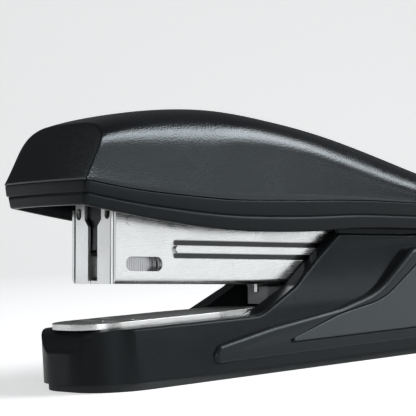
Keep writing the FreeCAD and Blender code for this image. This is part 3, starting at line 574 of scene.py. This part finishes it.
def build_rim():
    def at(share):
        """Height at a share of the way down from the rim's top line to its bottom line."""
        return lambda x: rim_top(x) + (rim_bottom(x) - rim_top(x)) * share

    # inset and height of the upper band, the fine groove, the lower band and the inner face
    profile = [
        (0.14, at(0.0)), (0.03, at(0.012)), (0.0, at(0.03)), (0.16, at(0.25)), (0.31, at(0.44)),
        (0.38, at(0.46)), (1.0, at(0.47)), (1.0, at(0.505)), (0.84, at(0.515)),
        (1.05, at(0.66)), (1.3, at(0.88)), (1.42, at(0.95)), (1.7, at(0.99)), (2.2, at(1.0)),
        (3.2, at(1.0)), (3.5, at(0.96)), (3.5, at(0.5)), (3.5, at(0.0)),
    ]
    bm = bmesh.new()
    rings = []
    for inset, height in profile:
        rings.append([bm.verts.new(raised(x, y, height(x))) for x, y in plan_line(inset)])
    total = len(rings[0])
    for a, b in zip(rings, rings[1:] + rings[:1]):
        for i in range(total):
            k = (i + 1) % total
            bm.faces.new((a[i], a[k], b[k], b[i]))
    add_piece("rim_made", mesh_of("rim_made", bm), "handle", "rim_satin", ("rim_band",))


build_cover()
build_rim()


# ---------------------------------------------------------------- springs
TURN_STEPS, WIRE_SIDES = 28, 8
PUSHER_REAR, ROD_END, ROD_UP = 46.1, 113.4, 4.2     # the pusher spring's ends on the guide rod, mm


def build_spring(node, radius, wire, start, end, turns):
    """A coil spring of round wire between two points, in place of its CAD node."""
    axis = (end - start).normalized()
    other = axis.cross(ACROSS)
    length = (end - start).length - wire
    rise = length / (2 * math.pi * turns * radius)
    steps = int(turns * TURN_STEPS)
    bm = bmesh.new()
    rings = []
    for i in range(steps + 1):
        a = 2 * math.pi * turns * i / steps
        out = ACROSS * math.cos(a) + other * math.sin(a)
        along = other * math.cos(a) - ACROSS * math.sin(a)
        tilt = (axis - along * rise).normalized()
        centre = start + axis * (wire / 2 + length * i / steps) + out * radius
        ring = []
        for k in range(WIRE_SIDES):
            b = 2 * math.pi * k / WIRE_SIDES
            ring.append(bm.verts.new(centre + (out * math.cos(b) + tilt * math.sin(b)) * (wire / 2)))
        rings.append(ring)
    for a, b in zip(rings, rings[1:]):
        for i in range(WIRE_SIDES):
            k = (i + 1) % WIRE_SIDES
            bm.faces.new((a[i], a[k], b[k], b[i]))
    bm.faces.new(rings[0][::-1])
    bm.faces.new(rings[-1])
    body = frame["nodes"][node]["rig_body"]
    return add_piece(node + "_made", mesh_of(node + "_made", bm), body, slot_of[node], (node,))


low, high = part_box("lift_spring")
foot = Vector(((low.x + high.x) / 2, 0, low.z))
lift = build_spring("lift_spring", 1.9 * MM, 0.5 * MM, foot, foot + Vector((0, 0, high.z - low.z)), 5.5)
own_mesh(lift)
start, end = raised(PUSHER_REAR, 0, ROD_UP), raised(ROD_END, 0, ROD_UP)
push = build_spring("pusher_spring", 1.65 * MM, 0.45 * MM, start, end, 26)
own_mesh(push)

# ---------------------------------------------------------------- sheet metal and mouldings
# how wide each piece's edges are broken, mm
dressed("base_shell", 0.45, 3, 25)
for side in ("left", "right"):
    dressed("side_wing_" + side, 0.3)
    dressed("side_panel_" + side, 0.2)
dressed("magazine_channel", 0.16, material=upright_nickel)
dressed("magazine_sleeve", 0.16)
dressed("anvil_plate", 0.25)
dressed("anvil_disc", 0.15)
dressed("sole_pad", 0.3)
dressed("spring_housing", 0.2)
dressed("press_arm", 0.15)
dressed("base_frame", 0.2)


# ---------------------------------------------------------------- floor, light and camera, in metres
VIEW = Vector((0.6437, 0.7653, 0.0003))
CAMERA_PLACE = Vector((-0.3234, -0.3525, 0.0428))
CAMERA_TOP = Vector((0.0407, -0.0346, 0.9986))
LIGHT_COLOUR = (0.95, 0.98, 1.0)
FLOOR_FRONT, FLOOR_BACK, FLOOR_HALF = -3.0, 0.9, 4.0
WALL_CURVE, WALL_TOP, CURVE_STEPS = 0.8, 4.0, 16


def area_light(name, aside, size, power):
    """A soft lamp that stands aside from the object's middle and faces it."""
    data = bpy.data.lights.new(name, "AREA")
    data.shape = "RECTANGLE"
    data.size, data.size_y = size
    data.energy = power
    data.color = LIGHT_COLOUR
    lamp = bpy.data.objects.new(name, data)
    bpy.context.scene.collection.objects.link(lamp)
    lamp.location = middle + Vector(aside)
    lamp.visible_camera = False
    lamp.rotation_mode = "QUATERNION"
    lamp.rotation_quaternion = (middle - lamp.location).to_track_quat("-Z", "Y")


def build_stage():
    """A pale floor that curves up far behind the object."""
    away = Vector((VIEW.x, VIEW.y, 0))
    across = Vector((away.y, -away.x, 0))
    profile = [(FLOOR_FRONT, 0.0), (FLOOR_BACK, 0.0)]
    for i in range(1, CURVE_STEPS + 1):
        a = math.pi / 2 * i / CURVE_STEPS
        profile.append((FLOOR_BACK + WALL_CURVE * math.sin(a), WALL_CURVE * (1 - math.cos(a))))
    profile.append((FLOOR_BACK + WALL_CURVE, WALL_TOP))
    mat, tree, shader = new_material("studio_paper", (0.80, 0.80, 0.80), roughness=0.85)
    shader.inputs["Emission Color"].default_value = (1, 1, 1, 1)
    shader.inputs["Emission Strength"].default_value = 0.57
    n = Nodes(tree)
    n.link(n.mix(n.noise(6, 3), (0.795, 0.795, 0.795), (0.805, 0.805, 0.805)), shader.inputs["Base Color"])
    for name, part in (("studio_floor", profile[:2]), ("studio_backdrop", profile[1:])):
        bm = bmesh.new()
        rows = []
        for out, up in part:
            ends = (-FLOOR_HALF, FLOOR_HALF)
            rows.append([bm.verts.new(away * out + across * s + Vector((0, 0, up))) for s in ends])
        for a, b in zip(rows, rows[1:]):
            bm.faces.new((a[0], a[1], b[1], b[0]))
        sheet = bpy.data.objects.new(name, mesh_of(name, bm))
        bpy.context.scene.collection.objects.link(sheet)
        sheet.data.materials.append(mat)
        sheet.visible_diffuse = False
        sheet.visible_glossy = name == "studio_floor"


build_stage()
middle = (cad_box[0] + cad_box[1]) / 2
area_light("shoulder_light", (0.66, -0.59, 0.56), (0.72, 0.44), 12.5)
area_light("right_front", (0.73, -1.05, 0.15), (0.56, 0.48), 1.2)
area_light("front_fill", (-0.55, -0.75, 0.10), (0.4, 0.4), 2.2)
area_light("left_back", (-0.68, 0.86, 0.04), (0.6, 0.34), 0.8)
area_light("facet_glow", (-0.68, 0.50, 0.56), (0.4, 0.3), 0.6)
area_light("top_soft", (-0.25, -0.6, 1.0), (0.7, 0.7), 0.3)

world = bpy.data.worlds.new("studio")
world.use_nodes = True
world.node_tree.nodes["Background"].inputs["Color"].default_value = (0.95, 0.97, 1.0, 1)
world.node_tree.nodes["Background"].inputs["Strength"].default_value = 0.10
bpy.context.scene.world = world
bpy.context.scene.view_settings.view_transform = "Standard"

camera_data = bpy.data.cameras.new("camera")
camera_data.lens = 152.9
camera_data.sensor_width = 36.0
camera_data.clip_start, camera_data.clip_end = 0.01, 20
camera = bpy.data.objects.new("camera", camera_data)
bpy.context.scene.collection.objects.link(camera)
looking = VIEW.normalized()
right = looking.cross(CAMERA_TOP).normalized()
turn = Matrix((right, right.cross(looking), -looking)).transposed()
camera.matrix_world = Matrix.Translation(CAMERA_PLACE) @ turn.to_4x4()
bpy.context.scene.camera = camera
